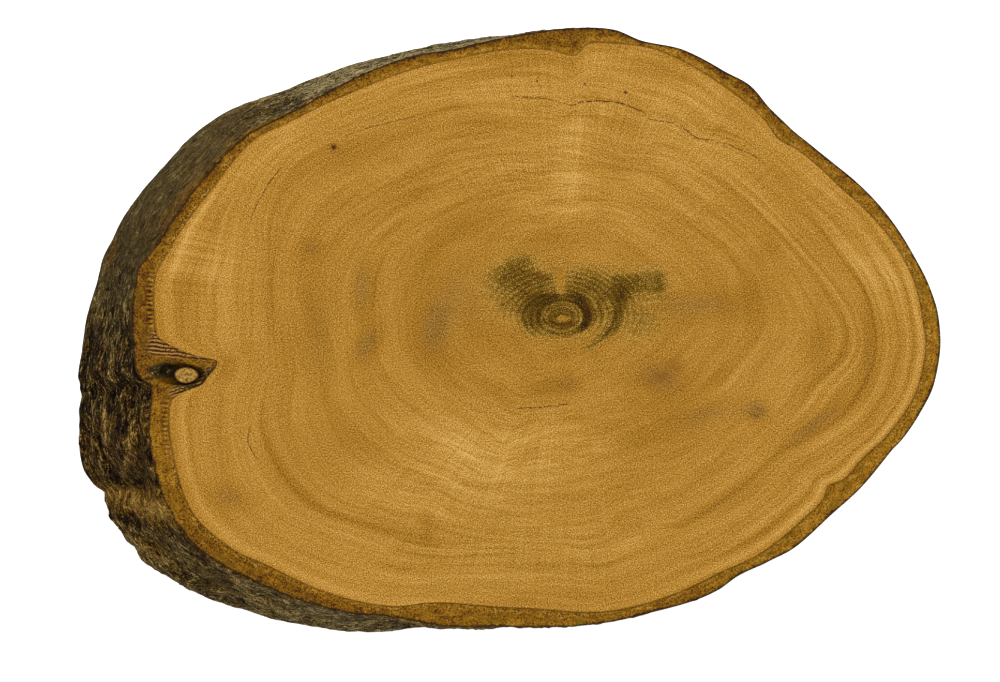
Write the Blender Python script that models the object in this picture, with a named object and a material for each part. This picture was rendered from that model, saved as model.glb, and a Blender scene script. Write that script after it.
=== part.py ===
"""Wood slice: a slanting cut through a small leaning stem, polished on top, its bark left on all round.

Metres, +Z up. The slice lies on its sawn back and its polished face looks up. The origin is the middle
of the slice's outline, on the surface it lies on. Places round the slice are angles in degrees about
the pith, from +X towards +Y, and its sizes in the tables are millimetres from the pith.
"""
import math

import bpy
import numpy as np

MM = 0.001
NAME = "wood_slice"

# Driving dimensions
THICKNESS = 12.0          # from the sawn back to the polished face
PITH = (7.16, 1.64)       # the pith's place from the middle of the slice's outline
BACK_PITH = (-8.7, 0.0)   # how far the leaning pith has moved when it comes out of the sawn back
RIM_DROP = 0.30           # the bark stands this much lower than the polished wood
RIM_CHAMFER = 0.12        # the slope from the wood's edge down to the bark's rim
RIM_CROWN = 0.10          # the rim's outer edge is worn a little lower still

# Outer edge of the bark on the polished face
BARK_EDGE = (
    (0, 50.2), (5, 49.1), (10, 47.6), (15, 46.2), (20, 44.7), (25, 43.1), (30, 41.5), (35, 40.3),
    (40, 39.5), (45, 39.3), (51, 39.8), (57, 39.3), (65, 39.2), (74, 38.4), (80, 39.0), (90, 38.5),
    (100, 38.1), (110, 38.4), (120, 40.2), (130, 42.1), (140, 44.4), (145, 46.3), (150, 48.6),
    (160, 51.7), (170, 55.0), (174, 57.0), (180, 57.4), (186.8, 57.4), (188.2, 56.9), (189.5, 55.6),
    (191.1, 55.9), (195.2, 57.2), (200.6, 58.0), (205, 58.4), (210, 58.1), (215, 56.6), (220, 54.4),
    (230, 50.3), (235, 48.3), (240, 46.1), (250, 43.9), (260, 41.9), (270, 41.3), (285, 41.1),
    (300, 41.9), (303.5, 41.7), (310, 42.6), (315, 43.6), (323, 44.4), (330, 45.8), (338, 47.4),
    (340, 48.1), (345, 49.4), (350, 50.4), (355, 50.6),
)

# Edge of the wood under the bark, with the fold of bark round the branch stub between 182 and 194
WOOD_EDGE = (
    (0, 48.0), (5, 47.3), (10, 46.1), (20, 42.7), (25, 40.9), (30, 39.7), (35, 38.6), (40, 37.3),
    (45, 37.7), (55, 37.6), (70, 37.8), (80, 37.1), (84, 36.8), (87.5, 34.9), (93, 35.7), (100, 36.3),
    (110, 37.0), (120, 38.4), (130, 40.3), (140, 43.1), (145, 45.0), (150, 47.4), (160, 49.8),
    (170, 53.1), (175, 54.6), (180, 54.4), (182.5, 54.1), (184.9, 51.2), (186, 49.1), (187.3, 46.4),
    (188.4, 46.8), (189.5, 47.9), (190.7, 49.1), (191.1, 51.5), (192.1, 53.3), (195, 54.3),
    (200, 55.1), (207, 55.8), (215, 53.8), (220, 51.4), (230, 48.1), (240, 44.5), (245, 42.0),
    (250, 40.6), (260, 39.3), (265, 39.0), (280, 39.7), (300, 39.9), (310, 41.1), (320, 41.9),
    (325, 42.4), (327.5, 42.0), (330, 43.3), (335, 44.3), (340, 46.1), (350, 48.4), (355, 48.6),
)

# How much further out than the polished face's edge the bark ends at the sawn back
BACK_REACH = (
    (0, -8.6), (15, -8.1), (30, -6.8), (45, -5.6), (60, -4.4), (75, -2.6), (90, -0.8), (100, 0.0),
    (110, 0.8), (120, 1.1), (130, 1.9), (140, 3.3), (150, 5.2), (160, 5.9), (166, 6.3), (174, 4.7),
    (180, 5.8), (185, 7.1), (187.4, 7.6), (189.5, 9.4), (191.5, 9.9), (195, 9.6), (197.5, 9.4),
    (199.9, 8.4), (201.9, 7.2), (203.5, 7.7), (206, 6.9), (210, 6.2), (215, 6.1), (220, 5.6),
    (225, 4.5), (230, 3.5), (240, 2.1), (245, 0.5), (250, 0.0), (260, -0.5), (270, -0.7),
    (285, -2.0), (300, -3.6), (315, -4.8), (330, -5.8), (345, -7.6),
)

# The bark's side, from the smooth upper left to the rough and flaky lower left
BARK_RELIEF = (
    (0, 0.45), (60, 0.35), (95, 0.20), (150, 0.25), (168, 0.40), (185, 0.65), (205, 0.70),
    (228, 0.60), (250, 0.35), (310, 0.40),
)
BARK_BULGE = 0.35                      # how far the side bulges between the face and the back
RELIEF_START = 0.08                    # the relief fades in over this share of the thickness
RIDGES = ((38, 7, 0.55), (84, 12, 0.45))   # cells round, cells down, share of the relief
PLATES = (30, 5, 0.50)                 # the flakes: cells round, cells down, share of the relief
PLATE_EDGE = 4.0                       # how steep the flakes' broken edges are
SCARS = ((201.9, 1.5, 0.7), (188.4, 1.0, 0.5))   # angle, half-width, depth
SEED = 20

# The branch stub in its hollow
STUB_PLACE = (-50.13, -7.70)
STUB_RADII = (1.39, 1.11)
STUB_FLARE = 1.25                      # the stub's foot is this much wider than its cut end
STUB_DROP = 0.08                       # its cut end lies this far under the polished face
STUB_ROOT = 1.2                        # its foot is sunk this far into the hollow's floor
HOLLOW_PLACE = (-51.0, -7.60)
HOLLOW_RADII = (3.30, 1.42)
HOLLOW_DEPTH = 2.2

# Fineness of the model
COARSE_STEP = 1.5                      # degrees between the columns round the slice
FINE_STEP = 0.75                       # the same beside the branch stub
FINE_FROM, FINE_TO = 180.0, 207.0
LEVELS = 11                            # rings down the side
ROUND_SIDES = 24                       # sides of the stub and of its hollow
SHARP_ANGLE = 50.0                     # edges sharper than this many degrees are not smoothed

WOOD_COLOUR = (0.42, 0.21, 0.038, 1.0)
WOOD_ROUGHNESS = 0.42
BARK_COLOUR = (0.085, 0.062, 0.034, 1.0)
BARK_ROUGHNESS = 0.90


def around(table, angles):
    """Smooth closed curve through a table of (angle, value) that never overshoots its values."""
    turn = np.array([angle for angle, _ in table], dtype=float)
    height = np.array([value for _, value in table], dtype=float)
    turn = np.concatenate((turn - 360.0, turn, turn + 360.0))
    height = np.tile(height, 3)
    gap = np.diff(turn)
    slope = np.diff(height) / gap
    same_way = slope[:-1] * slope[1:] > 0.0
    both = np.where(same_way, slope[:-1] + slope[1:], 1.0)
    tangent = np.zeros_like(height)
    tangent[1:-1] = np.where(same_way, 2.0 * slope[:-1] * slope[1:] / both, 0.0)
    left = np.searchsorted(turn, angles, side="right") - 1
    width = gap[left]
    part = (angles - turn[left]) / width
    rest = 1.0 - part
    value = height[left] * rest * rest * (1.0 + 2.0 * part)
    value += height[left + 1] * part * part * (3.0 - 2.0 * part)
    value += width * part * rest * (tangent[left] * rest - tangent[left + 1] * part)
    return value


def drift(angles, depth, cells_round, cells_down, seed):
    """Seeded random heights from -1 to 1 on a lattice round the stem, blended smoothly between."""
    lattice = np.random.RandomState(seed).uniform(-1.0, 1.0, (cells_down + 1, cells_round))
    across = np.mod(angles, 360.0) / 360.0 * cells_round
    down = np.clip(depth, 0.0, 1.0) * cells_down
    column = np.floor(across).astype(int)
    row = np.minimum(np.floor(down).astype(int), cells_down - 1)
    u = across - column
    v = down - row
    u = u * u * (3.0 - 2.0 * u)
    v = v * v * (3.0 - 2.0 * v)
    column = column % cells_round
    beside = (column + 1) % cells_round
    upper = lattice[row, column] * (1.0 - u) + lattice[row, beside] * u
    lower = lattice[row + 1, column] * (1.0 - u) + lattice[row + 1, beside] * u
    return upper * (1.0 - v) + lower * v


def bark_relief(angles, depth):
    """Height of the bark's ridges and flakes over its plain form, from about -1 to 1."""
    relief = np.zeros_like(depth)
    for index, (cells_round, cells_down, share) in enumerate(RIDGES):
        relief += share * drift(angles, depth, cells_round, cells_down, SEED + index)
    cells_round, cells_down, share = PLATES
    flakes = drift(angles, depth, cells_round, cells_down, SEED + len(RIDGES))
    return relief + share * np.tanh(PLATE_EDGE * flakes)


def bark_radius(angles, depth):
    """Distance of the bark's side from the pith's line at a depth of 0 (face) to 1 (back)."""
    lean = depth * (1.0 + BARK_BULGE * (1.0 - depth))
    radius = around(BARK_EDGE, angles) + around(BACK_REACH, angles) * lean
    fade = 1.0 - np.exp(-depth / RELIEF_START)
    radius += around(BARK_RELIEF, angles) * bark_relief(angles, depth) * fade
    for angle, half_width, scar_depth in SCARS:
        radius -= scar_depth * fade * np.exp(-((angles - angle) / half_width) ** 2)
    return radius


def columns():
    """Angles of the model's columns, closer together beside the branch stub."""
    before = np.arange(0.0, FINE_FROM, COARSE_STEP)
    beside = np.arange(FINE_FROM, FINE_TO, FINE_STEP)
    after = np.arange(FINE_TO, 360.0, COARSE_STEP)
    return np.concatenate((before, beside, after))


def ring(angles, radius, height):
    """One closed ring of points, in metres, at a height over the surface the slice lies on."""
    x = (PITH[0] + radius * np.cos(np.radians(angles))) * MM
    y = (PITH[1] + radius * np.sin(np.radians(angles))) * MM
    return np.column_stack((x, y, np.full_like(x, height * MM)))


def slice_rings(angles):
    """Rings from the wood's edge over the bark's rim and down its side to the sawn back."""
    wood = around(WOOD_EDGE, angles)
    rim_height = THICKNESS - RIM_DROP
    side_height = rim_height - RIM_CROWN
    rings = [ring(angles, wood, THICKNESS)]
    rings.append(ring(angles, wood + RIM_CHAMFER, rim_height))
    for level in range(LEVELS + 1):
        depth = np.full_like(angles, level / LEVELS)
        rings.append(ring(angles, bark_radius(angles, depth), side_height * (1.0 - level / LEVELS)))
    return rings


def loft(name, rings, first, last):
    """Closed mesh over a stack of rings, shut by a fan of triangles about a point at each end."""
    count = len(rings[0])
    points = np.concatenate(rings + [np.array([first, last])])
    first_index = len(points) - 2
    last_index = len(points) - 1
    faces = []
    for column in range(count):
        beside = (column + 1) % count
        faces.append((first_index, column, beside))
        for level in range(len(rings) - 1):
            upper = level * count
            lower = upper + count
            faces.append((upper + column, lower + column, lower + beside, upper + beside))
        bottom = (len(rings) - 1) * count
        faces.append((last_index, bottom + beside, bottom + column))
    mesh = bpy.data.meshes.new(name)
    mesh.from_pydata(points.tolist(), [], faces)
    return mesh


def material(name, colour, roughness):
    """Principled material of one colour."""
    finish = bpy.data.materials.new(name)
    finish.use_nodes = True
    shader = finish.node_tree.nodes["Principled BSDF"]
    shader.inputs["Base Color"].default_value = colour
    shader.inputs["Roughness"].default_value = roughness
    shader.inputs["Metallic"].default_value = 0.0
    finish.diffuse_color = colour
    return finish


def paint(mesh, wood, bark, faces_per_column):
    """Wood on the polished face and the sawn back, bark on the rim and the side."""
    mesh.materials.append(wood)
    mesh.materials.append(bark)
    for index, face in enumerate(mesh.polygons):
        place = index % faces_per_column
        face.material_index = 0 if place in (0, faces_per_column - 1) else 1
    mesh.shade_smooth()
    mesh.set_sharp_from_angle(angle=math.radians(SHARP_ANGLE))


def make_slice(collection, wood, bark):
    """The stem's slice: wood, bark rim and bark side in one closed body."""
    angles = columns()
    rings = slice_rings(angles)
    face_middle = (PITH[0] * MM, PITH[1] * MM, THICKNESS * MM)
    back_middle = ((PITH[0] + BACK_PITH[0]) * MM, (PITH[1] + BACK_PITH[1]) * MM, 0.0)
    mesh = loft(NAME, rings, face_middle, back_middle)
    paint(mesh, wood, bark, len(rings) + 1)
    body = bpy.data.objects.new(NAME, mesh)
    collection.objects.link(body)
    return body


def place_on_face(point, height):
    """World place of a point of the polished face, given in millimetres from the pith."""
    return ((PITH[0] + point[0]) * MM, (PITH[1] + point[1]) * MM, height * MM)


def keep_as_tool(tool, name, collection):
    """Move a cutting or joining shape to the tools' collection and show it as wire."""
    tool.name = name
    for owner in list(tool.users_collection):
        owner.objects.unlink(tool)
    collection.objects.link(tool)
    tool.hide_render = True
    tool.display_type = "WIRE"


def bake_scale(tool, scale):
    """Apply a scale to a primitive's own mesh."""
    for vertex in tool.data.vertices:
        for axis in range(3):
            vertex.co[axis] *= scale[axis]


def make_hollow(collection, bark):
    """Ellipsoid that scoops the dark hollow out of the fold of bark."""
    bpy.ops.mesh.primitive_uv_sphere_add(segments=ROUND_SIDES, ring_count=ROUND_SIDES // 2, radius=MM,
                                         location=place_on_face(HOLLOW_PLACE, THICKNESS - RIM_DROP))
    hollow = bpy.context.object
    bake_scale(hollow, (HOLLOW_RADII[0], HOLLOW_RADII[1], HOLLOW_DEPTH))
    hollow.data.materials.append(bark)
    keep_as_tool(hollow, "hollow_cutter", collection)
    return hollow


def make_stub(collection, wood):
    """Cut end of the branch stub: an oval cone frustum that stands in the hollow."""
    depth = HOLLOW_DEPTH + STUB_ROOT
    height = THICKNESS - STUB_DROP - depth / 2.0
    bpy.ops.mesh.primitive_cone_add(vertices=ROUND_SIDES, radius1=STUB_FLARE * MM, radius2=MM,
                                    depth=depth * MM, location=place_on_face(STUB_PLACE, height))
    stub = bpy.context.object
    bake_scale(stub, (STUB_RADII[0], STUB_RADII[1], 1.0))
    stub.data.materials.append(wood)
    keep_as_tool(stub, "stub_joiner", collection)
    return stub


def add_boolean(body, tool, operation):
    """Exact Boolean of a tool on the slice."""
    modifier = body.modifiers.new(tool.name, "BOOLEAN")
    modifier.operation = operation
    modifier.solver = "EXACT"
    modifier.material_mode = "TRANSFER"
    modifier.object = tool


def clear_scene():
    """Remove what the scene starts with."""
    for item in list(bpy.data.objects):
        bpy.data.objects.remove(item, do_unlink=True)


def main():
    clear_scene()
    parts = bpy.data.collections.new("wood slice")
    tools = bpy.data.collections.new("shaping tools")
    bpy.context.scene.collection.children.link(parts)
    bpy.context.scene.collection.children.link(tools)
    wood = material("wood", WOOD_COLOUR, WOOD_ROUGHNESS)
    bark = material("bark", BARK_COLOUR, BARK_ROUGHNESS)
    body = make_slice(parts, wood, bark)
    add_boolean(body, make_hollow(tools, bark), "DIFFERENCE")
    add_boolean(body, make_stub(tools, wood), "UNION")


main()
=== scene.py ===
import math

import bpy
import numpy as np
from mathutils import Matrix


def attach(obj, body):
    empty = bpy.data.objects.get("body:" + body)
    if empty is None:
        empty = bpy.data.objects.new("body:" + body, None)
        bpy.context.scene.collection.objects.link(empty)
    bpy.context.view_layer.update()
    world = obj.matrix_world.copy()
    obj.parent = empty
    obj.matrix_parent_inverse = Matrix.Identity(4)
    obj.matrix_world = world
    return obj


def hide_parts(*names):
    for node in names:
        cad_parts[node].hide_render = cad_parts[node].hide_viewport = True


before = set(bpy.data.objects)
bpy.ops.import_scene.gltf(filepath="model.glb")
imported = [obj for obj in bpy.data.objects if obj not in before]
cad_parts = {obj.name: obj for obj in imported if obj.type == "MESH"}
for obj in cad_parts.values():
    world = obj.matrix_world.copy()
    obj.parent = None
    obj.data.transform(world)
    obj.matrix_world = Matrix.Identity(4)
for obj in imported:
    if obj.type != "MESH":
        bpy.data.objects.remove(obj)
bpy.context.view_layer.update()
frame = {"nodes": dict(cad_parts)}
print("frame loaded:", ", ".join(frame["nodes"]))

mm = 0.001

# Outlines shared with the solid: (angle round the pith in degrees, millimetres from the pith)
barkEdge = (
    (0, 50.2), (5, 49.1), (10, 47.6), (15, 46.2), (20, 44.7), (25, 43.1), (30, 41.5), (35, 40.3),
    (40, 39.5), (45, 39.3), (51, 39.8), (57, 39.3), (65, 39.2), (74, 38.4), (80, 39.0), (90, 38.5),
    (100, 38.1), (110, 38.4), (120, 40.2), (130, 42.1), (140, 44.4), (145, 46.3), (150, 48.6),
    (160, 51.7), (170, 55.0), (174, 57.0), (180, 57.4), (186.8, 57.4), (188.2, 56.9), (189.5, 55.6),
    (191.1, 55.9), (195.2, 57.2), (200.6, 58.0), (205, 58.4), (210, 58.1), (215, 56.6), (220, 54.4),
    (230, 50.3), (235, 48.3), (240, 46.1), (250, 43.9), (260, 41.9), (270, 41.3), (285, 41.1),
    (300, 41.9), (303.5, 41.7), (310, 42.6), (315, 43.6), (323, 44.4), (330, 45.8), (338, 47.4),
    (340, 48.1), (345, 49.4), (350, 50.4), (355, 50.6),
)
woodEdge = (
    (0, 48.0), (5, 47.3), (10, 46.1), (20, 42.7), (25, 40.9), (30, 39.7), (35, 38.6), (40, 37.3),
    (45, 37.7), (55, 37.6), (70, 37.8), (80, 37.1), (84, 36.8), (87.5, 34.9), (93, 35.7), (100, 36.3),
    (110, 37.0), (120, 38.4), (130, 40.3), (140, 43.1), (145, 45.0), (150, 47.4), (160, 49.8),
    (170, 53.1), (175, 54.6), (180, 54.4), (182.5, 54.1), (184.9, 51.2), (186, 49.1), (187.3, 46.4),
    (188.4, 46.8), (189.5, 47.9), (190.7, 49.1), (191.1, 51.5), (192.1, 53.3), (195, 54.3),
    (200, 55.1), (207, 55.8), (215, 53.8), (220, 51.4), (230, 48.1), (240, 44.5), (245, 42.0),
    (250, 40.6), (260, 39.3), (265, 39.0), (280, 39.7), (300, 39.9), (310, 41.1), (320, 41.9),
    (325, 42.4), (327.5, 42.0), (330, 43.3), (335, 44.3), (340, 46.1), (350, 48.4), (355, 48.6),
)
# In millimetres, by angle: how far the side leans out at the sawn back, and how high its relief is
backReach = (
    (0, -8.6), (15, -8.1), (30, -6.8), (45, -5.6), (60, -4.4), (75, -2.6), (90, -0.8), (100, 0.0),
    (110, 0.8), (120, 1.1), (130, 1.9), (140, 3.3), (150, 5.2), (160, 5.9), (166, 6.3), (174, 4.7),
    (180, 5.8), (185, 7.1), (187.4, 7.6), (189.5, 9.4), (191.5, 9.9), (195, 9.6), (197.5, 9.4),
    (199.9, 8.4), (201.9, 7.2), (203.5, 7.7), (206, 6.9), (210, 6.2), (215, 6.1), (220, 5.6),
    (225, 4.5), (230, 3.5), (240, 2.1), (245, 0.5), (250, 0.0), (260, -0.5), (270, -0.7),
    (285, -2.0), (300, -3.6), (315, -4.8), (330, -5.8), (345, -7.6),
)
reliefHeight = (
    (0, 0.45), (60, 0.35), (95, 0.20), (150, 0.25), (168, 0.40), (185, 0.65), (205, 0.70),
    (228, 0.60), (250, 0.35), (310, 0.40),
)
sliceForm = {
    "thickness": 12.0,
    "pith": (7.16, 1.64),
    "backPith": (-8.7, 0.0),          # how far the leaning pith has moved at the sawn back
    "rimDrop": 0.30,                  # the bark's rim lies this far under the polished wood
    "rimCrown": 0.10,
    "bulge": 0.35,
    "backThickness": 2.4,             # the bark's thickness at the sawn back
    "reliefStart": 0.08,
    "ridges": ((38, 7, 0.55), (84, 12, 0.45)),
    "plates": (30, 5, 0.50),
    "plateEdge": 4.0,
    "scars": ((201.9, 1.5, 0.7), (188.4, 1.0, 0.5)),
    "seed": 20,
    "hollowPlace": (-51.0, -7.60),
    "hollowRadii": (3.30, 1.42),
    "hollowDepth": 2.2,
    "stubPlace": (-50.13, -7.70),
    "stubRadii": (1.62, 1.08),
    "stubDrop": 0.08,
    "foldApex": (-45.97, -5.88),      # the sharp inner end of the fold that holds the branch
}
studio = {
    "dome": 0.86,
    "lamps": (                       # place in metres, size in metres, watts
        ((0.35, 0.45, 1.10), 0.9, 6.0),
        ((-0.55, 0.10, 0.80), 0.8, 2.4),
    ),
    "light": 1.30,                   # how bright a white thing lying flat shows
    "haze": 0.005,                   # what the sheen adds to every colour
    "floorSize": 6.0,
    "floorHeight": -0.0002,
    "floorColour": (250, 250, 250),
    "floorShade": 0.93,
    "floorGlow": 0.55,
}
photoView = {
    "pixelsPerMm": 7.5,
    "pithPixel": (562.3, 317.3),      # where the pith shows in the 1000 x 682 picture
    "pictureSize": (1000, 682),
    "lens": 700.0,
    "sensor": 36.0,
}


def bearings(coarse, fine, start, end):
    # angles round the pith in degrees, in finer steps from start to end, where the fold lies
    parts = (np.arange(0.0, start, coarse), np.arange(start, end, fine), np.arange(end, 360.0, coarse))
    return np.concatenate(parts)


def cubic(low, high, lowSlope, highSlope, width, part):
    # cubic between two values with a slope at each: part runs from 0 to 1 over the width
    rest = 1.0 - part
    value = low * rest * rest * (1.0 + 2.0 * part)
    value = value + high * part * part * (3.0 - 2.0 * part)
    return value + width * part * rest * (lowSlope * rest - highSlope * part)


def around(table, angles):
    # smooth closed curve through a table of (angle, value): cubic between neighbours, never overshooting
    turn = np.array([row[0] for row in table], dtype=float)
    height = np.array([row[1] for row in table], dtype=float)
    turn = np.concatenate((turn - 360.0, turn, turn + 360.0))
    height = np.tile(height, 3)
    gap = np.diff(turn)
    slope = np.diff(height) / gap
    sameWay = slope[:-1] * slope[1:] > 0.0
    both = np.where(sameWay, slope[:-1] + slope[1:], 1.0)
    tangent = np.zeros_like(height)
    tangent[1:-1] = np.where(sameWay, 2.0 * slope[:-1] * slope[1:] / both, 0.0)
    left = np.searchsorted(turn, angles, side="right") - 1
    part = (angles - turn[left]) / gap[left]
    return cubic(height[left], height[left + 1], tangent[left], tangent[left + 1], gap[left], part)


def ease(value, low, high):
    # smooth step: 0 under low, 1 over high
    part = np.clip((value - low) / (high - low), 0.0, 1.0)
    return part * part * (3.0 - 2.0 * part)


def blendCells(lattice, across, down, closed):
    # value at (down, across) of a lattice of heights, smoothly blended between its four nearest points
    column = np.floor(across).astype(int)
    row = np.clip(np.floor(down).astype(int), 0, lattice.shape[0] - 2)
    u = across - column
    v = np.clip(down - row, 0.0, 1.0)
    u = u * u * (3.0 - 2.0 * u)
    v = v * v * (3.0 - 2.0 * v)
    if closed:
        column = column % lattice.shape[1]
        beside = (column + 1) % lattice.shape[1]
    else:
        column = np.clip(column, 0, lattice.shape[1] - 2)
        beside = column + 1
    upper = lattice[row, column] * (1.0 - u) + lattice[row, beside] * u
    lower = lattice[row + 1, column] * (1.0 - u) + lattice[row + 1, beside] * u
    return upper * (1.0 - v) + lower * v


def drift(angles, depth, cellsRound, cellsDown, seed):
    # random heights from -1 to 1 on a lattice round the stem and down its side
    lattice = np.random.RandomState(seed).uniform(-1.0, 1.0, (cellsDown + 1, cellsRound))
    across = np.mod(angles, 360.0) / 360.0 * cellsRound
    down = np.clip(depth, 0.0, 1.0) * cellsDown
    return blendCells(lattice, across, np.minimum(down, cellsDown - 1e-6), True)


def grit(x, y, cell, seed):
    # random heights from -1 to 1 on a square lattice over the slice, cell millimetres wide
    reach = 70.0
    count = int(2.0 * reach / cell) + 2
    lattice = np.random.RandomState(seed).uniform(-1.0, 1.0, (count, count))
    return blendCells(lattice, (x + reach) / cell, (y + reach) / cell, False)


def barkRadius(angles, depth):
    # the solid's own side: edge + reach * depth * (1 + bulge * (1 - depth)) + relief, as one formula
    form = sliceForm
    lean = depth * (1.0 + form["bulge"] * (1.0 - depth))
    relief = np.zeros_like(depth)
    for index, (cellsRound, cellsDown, share) in enumerate(form["ridges"]):
        relief = relief + share * drift(angles, depth, cellsRound, cellsDown, form["seed"] + index)
    cellsRound, cellsDown, share = form["plates"]
    flakes = drift(angles, depth, cellsRound, cellsDown, form["seed"] + len(form["ridges"]))
    relief = relief + share * np.tanh(form["plateEdge"] * flakes)
    fade = 1.0 - np.exp(-depth / form["reliefStart"])
    radius = around(barkEdge, angles) + around(backReach, angles) * lean
    radius = radius + around(reliefHeight, angles) * relief * fade
    for angle, halfWidth, scarDepth in form["scars"]:
        radius = radius - scarDepth * fade * np.exp(-((angles - angle) / halfWidth) ** 2)
    return radius


def woodWall(angles, depth):
    # hidden side of the wood: straight down under the fold, else a bark's thickness inside the bark
    topThickness = around(barkEdge, angles) - around(woodEdge, angles)
    backThickness = sliceForm["backThickness"]
    share = ease(depth, 0.2, 0.8)
    leaning = barkRadius(angles, depth) - topThickness * (1.0 - share) - backThickness * share
    return np.minimum(leaning, around(woodEdge, angles) + 20.0 * ease(depth, 0.25, 1.0))


def turned(angles, radius):
    # millimetres along X and Y from the pith of points given by angle and radius
    return radius * np.cos(np.radians(angles)), radius * np.sin(np.radians(angles))


def fromPixel(px, py):
    # millimetres along X and Y from the pith of a place in the picture
    x = (px - photoView["pithPixel"][0]) / photoView["pixelsPerMm"]
    y = (photoView["pithPixel"][1] - py) / photoView["pixelsPerMm"]
    return x, y


def toFrame(x, y, height):
    # metres in the shared frame of points given in millimetres from the pith, and their height
    x = (sliceForm["pith"][0] + x) * mm
    y = (sliceForm["pith"][1] + y) * mm
    return np.stack((x, y, np.broadcast_to(height * mm, np.shape(x))), axis=-1)


def spot(angles, radius, height):
    # the same for points given by angle, millimetres from the pith and height
    return toFrame(*turned(angles, radius), height)


def addObject(name, data):
    # object at the origin of the shared frame, linked to the scene
    made = bpy.data.objects.new(name, data)
    bpy.context.scene.collection.objects.link(made)
    return made


def stackFaces(rowCount, columnCount, closedDown):
    # quads between neighbouring rows of a grid that is closed round, and down too for a ring
    row = np.arange(rowCount if closedDown else rowCount - 1)[:, None]
    column = np.arange(columnCount)[None, :]
    beside = (column + 1) % columnCount
    below = (row + 1) % rowCount
    corners = (row * columnCount + column, below * columnCount + column,
               below * columnCount + beside, row * columnCount + beside)
    return np.stack(corners, axis=-1).reshape(-1, 4)


def makePiece(name, rows, poles, finishes, finishOfRow, traits):
    # mesh over stacked rows of points, with a fan at each pole, its traits kept as point attributes
    rowCount, columnCount = rows.shape[:2]
    faces = stackFaces(rowCount, columnCount, not poles).tolist()
    finishIndex = np.repeat(finishOfRow, columnCount)
    points = rows.reshape(-1, 3)
    if poles:
        first = len(points)
        column = np.arange(columnCount)
        beside = (column + 1) % columnCount
        lastRow = (rowCount - 1) * columnCount
        opening = np.stack((np.full(columnCount, first), column, beside), axis=-1)
        closing = np.stack((np.full(columnCount, first + 1), lastRow + beside, lastRow + column), axis=-1)
        faces = faces + opening.tolist() + closing.tolist()
        ends = (np.full(columnCount, finishOfRow[0]), np.full(columnCount, finishOfRow[-1]))
        finishIndex = np.concatenate((finishIndex,) + ends)
        points = np.concatenate((points, np.array(poles)))
    mesh = bpy.data.meshes.new(name)
    mesh.from_pydata(points.tolist(), [], faces)
    for finish in finishes:
        mesh.materials.append(finish)
    mesh.polygons.foreach_set("material_index", finishIndex.astype(np.int32))
    mesh.shade_smooth()
    for trait, values in traits.items():
        flat = values.reshape(-1)
        if poles:
            flat = np.concatenate((flat, [values[0].mean(), values[-1].mean()]))
        layer = mesh.attributes.new(trait, "FLOAT", "POINT")
        layer.data.foreach_set("value", flat.astype(np.float32))
    piece = addObject(name, mesh)
    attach(piece, "root")
    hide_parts("wood_slice")
    print(name, "has", len(points), "points")


class Wire:
    # one socket of a material, so that sums and products of sockets read as plain maths
    def __init__(self, finish, socket):
        self.finish = finish
        self.socket = socket

    def __add__(self, other):
        return self.finish.maths("ADD", self, other)

    def __sub__(self, other):
        return self.finish.maths("SUBTRACT", self, other)

    def __rsub__(self, other):
        return self.finish.maths("SUBTRACT", other, self)

    def __mul__(self, other):
        return self.finish.maths("MULTIPLY", self, other)

    __radd__ = __add__
    __rmul__ = __mul__


def linearShare(value):
    # a screen's 0 to 255 turned into the linear light that it stands for
    share = value / 255.0
    return share / 12.92 if share <= 0.04045 else ((share + 0.055) / 1.055) ** 2.4


def paint(shown):
    # the surface colour that shows as this screen colour under the lamps: (linear - haze) / light
    return (*[max(linearShare(value) - studio["haze"], 0.0005) / studio["light"] for value in shown], 1.0)


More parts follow.
